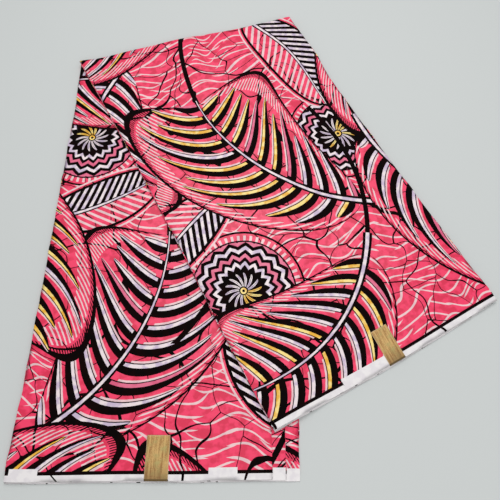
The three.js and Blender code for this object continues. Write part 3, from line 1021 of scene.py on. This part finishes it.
# Printed plain weave cotton: resist dyed inks with mottled edges, a pressed face and a fine weave
def printedCotton():
    material = bpy.data.materials.new("printed plain weave cotton")
    material.use_nodes = True
    tree = material.node_tree
    shader = tree.nodes["Principled BSDF"]
    place = addNode(tree, "ShaderNodeUVMap", uv_map="clothPlace").outputs[0]
    known = {"open": 1}  # 1 where no motif lies yet
    addClothPlaces(tree, known, place)
    addGround(tree, known)
    groups = {"medallion": medallionGroup(), "leaf": leafGroup(), "frond": frondGroup()}
    for name, group in groups.items():
        for motif in printing[name]:
            addMotif(tree, known, group, motif)
    addCracks(tree, known)
    addSelvedge(tree, known)
    addDyes(tree, known, place, shader)
    addSheen(tree, known, shader)
    addWeave(tree, known, shader)
    return material


cotton = printedCotton()
for name, piece in cloths.items():
    piece.data.materials.append(cotton)
    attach(piece, "root")
    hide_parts(packs[name]["node"])
print("cloth printed")

# The paper labels, in millimetres: place across the leaf, length back from its end, how far the free
# end leans and lifts, and how far its sides cup up
labels = {
    "lower_label": {"node": "label_lower", "leaf": "lower", "left": 149.0, "right": 174.5, "lean": 0.6,
                    "length": 46.0, "lift": 0.5, "cup": 0.25},
    "upper_label": {"node": "label_upper", "leaf": "upper", "left": 156.0, "right": 178.0, "lean": -1.5,
                    "length": 42.0, "lift": 0.8, "cup": 0.0},
}
paper = {
    "thickness": 0.3, "clear": 0.15,  # clear is how far it stays off the cloth
    "turn": 0.5, "flapOut": 0.1,  # the radius of its turn, and how far the end turned down stands out
    "waver": 0.12, "waverLength": 7.0,
    "columns": 14, "topRows": 26, "turnRows": 6, "flapRows": 5,
}


# The paper's path over the leaf's end, from its free end on: how far back, how high and which way is out
def labelPath(label, ceiling, floor):
    path = []
    top = ceiling + paper["clear"] + paper["thickness"] / 2
    for row in range(paper["topRows"] + 1):
        share = row / paper["topRows"]
        path.append((label["length"] * (1 - share), top + label["lift"] * (1 - share) ** 4, 0.0, 1.0))
    for row in range(1, paper["turnRows"] + 1):
        turn = np.pi / 2 * row / paper["turnRows"]
        away, up = np.sin(turn), np.cos(turn)
        path.append((-paper["turn"] * away, top - paper["turn"] * (1 - up), -away, up))
    bend = top - paper["turn"]
    for row in range(1, paper["flapRows"] + 1):
        share = row / paper["flapRows"]
        path.append((-paper["turn"] - paper["flapOut"] * share, bend + (floor - bend) * share, -1.0, 0.0))
    return np.array(path)


# One face of a label, half the paper's thickness out from its path, and each point's place on the paper
def labelFace(label, path, half):
    back, height, awayOut, upOut = path.T[:, :, None]
    steps = np.hypot(*np.diff(path[:, :2], axis=0).T)
    travelled = np.concatenate([[0], np.cumsum(steps)])[:, None]
    columns = np.linspace(0, 1, paper["columns"] + 1)
    width = label["right"] - label["left"]
    share = 1 - np.maximum(0, back) / label["length"]
    across = label["left"] + width * columns + label["lean"] * share
    across = across + paper["waver"] * np.sin(travelled / paper["waverLength"])
    high = height + label["cup"] * (2 * columns - 1) ** 2 * (1 - share) + half * upOut
    along = np.broadcast_to(back + half * awayOut, high.shape) * mm
    if label["leaf"] == "lower":
        points = lowerPoint(across * mm, along, high * mm)
    else:
        points = upperPoint(across * mm, upperEnd - along, high * mm)
    places = np.broadcast_arrays(columns * width * mm, travelled * mm)
    return np.stack(points, -1).reshape(-1, 3) + toFrame, np.stack(places, -1).reshape(-1, 2)


# A label's faces: its outer one, its inner one, whose corners run the other way round, and its edge
def labelFaces(rowCount, columnCount):
    pointCount = rowCount * columnCount
    loop = rimLoop(rowCount, columnCount)
    rim = loop[:, 0] * columnCount + loop[:, 1]
    nextRim = np.roll(rim, -1)
    outer = gridFaces(rowCount, columnCount, 0, True)[:, [0, 3, 2, 1]]
    inner = gridFaces(rowCount, columnCount, pointCount, True)
    edge = np.stack([rim, nextRim, pointCount + nextRim, pointCount + rim], -1)
    return np.concatenate([outer, inner, edge])


def makeLabel(name, label):
    leaves = 1 if label["leaf"] == "lower" else 2
    ceiling = (leaves * leafHeight - folding["packGap"]) / mm
    path = labelPath(label, ceiling, ceiling - folding["packThickness"] / mm)
    half = paper["thickness"] / 2
    outerPoints, outerPlaces = labelFace(label, path, half)
    innerPoints, innerPlaces = labelFace(label, path, -half)
    faces = labelFaces(len(path), paper["columns"] + 1)
    places = np.concatenate([outerPlaces, innerPlaces])[faces]
    return makePiece(name, np.concatenate([outerPoints, innerPoints]), faces, {"labelPlace": places})


# The kraft paper's colours, each laid over the ones before it. The last is painted shade where it turns
# down.
kraftColours = {
    "dull": "#A27640", "tone": "#D2AC6C", "olive": "#B3A566", "darkening": "#6E4E2A", "cut": "#DCBE94",
    # painted shade on the paper where it turns down over the leaf's end
    "turnShade": "#5E4A22",
}
# How they lie. Sizes are in millimetres, and the streaks are ten times as long as they are wide.
kraftFinish = {
    "fleckEvery": 1.111, "cloudEvery": 9.091, "streakEvery": 2.381, "streakShort": 0.1,
    "fleckShare": 0.7, "toneFrom": 0.69, "toneGain": 3.6, "cloudGain": 4.0, "cloudFrom": -1.9,
    "cutWide": 0.5, "turnShadeFrom": 1.5, "darkeningLength": 16, "darkeningMost": 0.6,
    "metallic": 0.2, "roughness": 0.48, "fleckStrength": 0.15, "fleckDepth": 0.2,
}


# Thin kraft paper with a dull gold face: streaked along its length, olive in places, paler along its cut
# edges and darker towards where it turns down, with painted shade on the part that turns down
def goldKraft(label):
    material = bpy.data.materials.new("kraft paper with a dull gold face " + label["leaf"])
    material.use_nodes = True
    tree = material.node_tree
    shader = tree.nodes["Principled BSDF"]
    place = addNode(tree, "ShaderNodeUVMap", uv_map="labelPlace").outputs[0]
    split = addNode(tree, "ShaderNodeSeparateXYZ", {0: place})
    known = {**kraftFinish, "across": split.outputs[0], "down": split.outputs[1]}
    workOut(tree, known, [("drawn", "MULTIPLY", "down", "streakShort")])
    drawn = addNode(tree, "ShaderNodeCombineXYZ", {0: known["across"], 1: known["drawn"]}).outputs[0]
    for name, vector, detail in (("fleck", place, 3.0), ("cloud", place, 2.0), ("streak", drawn, 1.0)):
        inputs = {"Vector": vector, "Scale": 1 / (kraftFinish[name + "Every"] * mm), "Detail": detail}
        known[name] = addNode(tree, "ShaderNodeTexNoise", inputs).outputs[0]
    workOut(tree, known, [
        ("restAcross", "SUBTRACT", (label["right"] - label["left"]) * mm, "across"),
        ("fromCut", "MINIMUM", ("MINIMUM", "across", "restAcross"), "down"),
        ("cut", "LESS_THAN", "fromCut", kraftFinish["cutWide"] * mm),
        # Painted shade on the paper from just short of its turn, over the turn and down past the leaf's end
        ("toTurn", "SUBTRACT", (label["length"] - kraftFinish["turnShadeFrom"]) * mm, "down"),
        ("turnShade", "LESS_THAN", "toTurn", 0),
        ("grain", "MULTIPLY_ADD", "fleck", "fleckShare", "streak"),
        ("tone", "MULTIPLY", ("SUBTRACT", "grain", "toneFrom"), "toneGain"),
        ("olive", "MULTIPLY_ADD", "cloud", "cloudGain", "cloudFrom"),
        # Darker towards where the paper turns down, fading out further back
        ("darkeningHere", "MULTIPLY_ADD", "toTurn", -1 / (kraftFinish["darkeningLength"] * mm), 1.0),
        ("darkening", "MULTIPLY", ("MAXIMUM", "darkeningHere", 0), "darkeningMost"),
    ])
    colour = linear(kraftColours["dull"])
    for layer in ("tone", "olive", "darkening", "cut", "turnShade"):
        layers = {mixShare: known[layer], mixUnder: colour, mixOver: linear(kraftColours[layer])}
        colour = addNode(tree, "ShaderNodeMix", layers, data_type="RGBA").outputs[mixResult]
    tree.links.new(colour, shader.inputs["Base Color"])
    shader.inputs["Metallic"].default_value = kraftFinish["metallic"]
    shader.inputs["Roughness"].default_value = kraftFinish["roughness"]
    strength, depth = kraftFinish["fleckStrength"], kraftFinish["fleckDepth"] * mm
    relief = {"Strength": strength, "Distance": depth, "Height": known["fleck"]}
    tree.links.new(addNode(tree, "ShaderNodeBump", relief).outputs[0], shader.inputs["Normal"])
    return material


for name, label in labels.items():
    piece = makeLabel(name, label)
    piece.data.materials.append(goldKraft(label))
    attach(piece, "root")
    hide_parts(label["node"])
print("labels laid")

# The view, as the photograph has it: place in the plan frame, turns in degrees, and the lens's focal
# length and the picture's width in pixels
view = {
    "at": (0.2628, 0.0437, 0.5715), "yaw": -0.866, "down": 68.256, "roll": -0.274,
    "focus": 478.58, "width": 500,
}


def makeCamera():
    camera = bpy.data.cameras.new("camera")
    camera.sensor_width = 36
    camera.lens = view["focus"] / view["width"] * camera.sensor_width
    camera.clip_start = 0.01
    holder = bpy.data.objects.new("camera", camera)
    bpy.context.collection.objects.link(holder)
    turn = (
        Matrix.Rotation(-np.radians(view["yaw"]), 4, "Z")
        @ Matrix.Rotation(np.radians(90 - view["down"]), 4, "X")
        @ Matrix.Rotation(np.radians(view["roll"]), 4, "Z")
    )
    holder.matrix_world = Matrix.Translation(Vector(view["at"]) + Vector(toFrame)) @ turn
    bpy.context.scene.camera = holder


# A pale floor, an even white sky and two soft lamps, in metres and watts
studio = {
    "floorSize": 12, "floorColour": "#CED2D1", "floorRoughness": 0.95, "floorSpecular": 0.1, "sky": 0.47,
    "lamps": (
        {"name": "overhead", "at": (-0.02, 0.52, 1.25), "size": 0.7, "power": 7.7},
        {"name": "front", "at": (0.4, -1.2, 1.4), "size": 1.2, "power": 9.2},
    ),
}


# Matt grey paper: nearly no gloss, so the floor stays one even tone
def layFloor():
    bpy.ops.mesh.primitive_plane_add(size=studio["floorSize"], location=(0, 0, 0))
    floor = bpy.context.object
    floor.name = "floor"
    material = bpy.data.materials.new("matt grey paper")
    material.use_nodes = True
    shader = material.node_tree.nodes["Principled BSDF"]
    shader.inputs["Base Color"].default_value = linear(studio["floorColour"])
    shader.inputs["Roughness"].default_value = studio["floorRoughness"]
    shader.inputs["Specular IOR Level"].default_value = studio["floorSpecular"]
    floor.data.materials.append(material)


def lightStudio():
    world = bpy.data.worlds.new("studio")
    bpy.context.scene.world = world
    world.use_nodes = True
    sky = world.node_tree.nodes["Background"]
    sky.inputs["Color"].default_value = (1, 1, 1, 1)
    sky.inputs["Strength"].default_value = studio["sky"]
    for lamp in studio["lamps"]:
        light = bpy.data.lights.new(lamp["name"], "AREA")
        light.size = lamp["size"]
        light.energy = lamp["power"]
        holder = bpy.data.objects.new(lamp["name"], light)
        bpy.context.collection.objects.link(holder)
        holder.location = lamp["at"]
        holder.rotation_euler = (-Vector(lamp["at"])).to_track_quat("-Z", "Y").to_euler()
    bpy.context.scene.view_settings.view_transform = "Standard"
    bpy.context.scene.view_settings.look = "None"


makeCamera()
layFloor()
lightStudio()
print("camera and light placed")
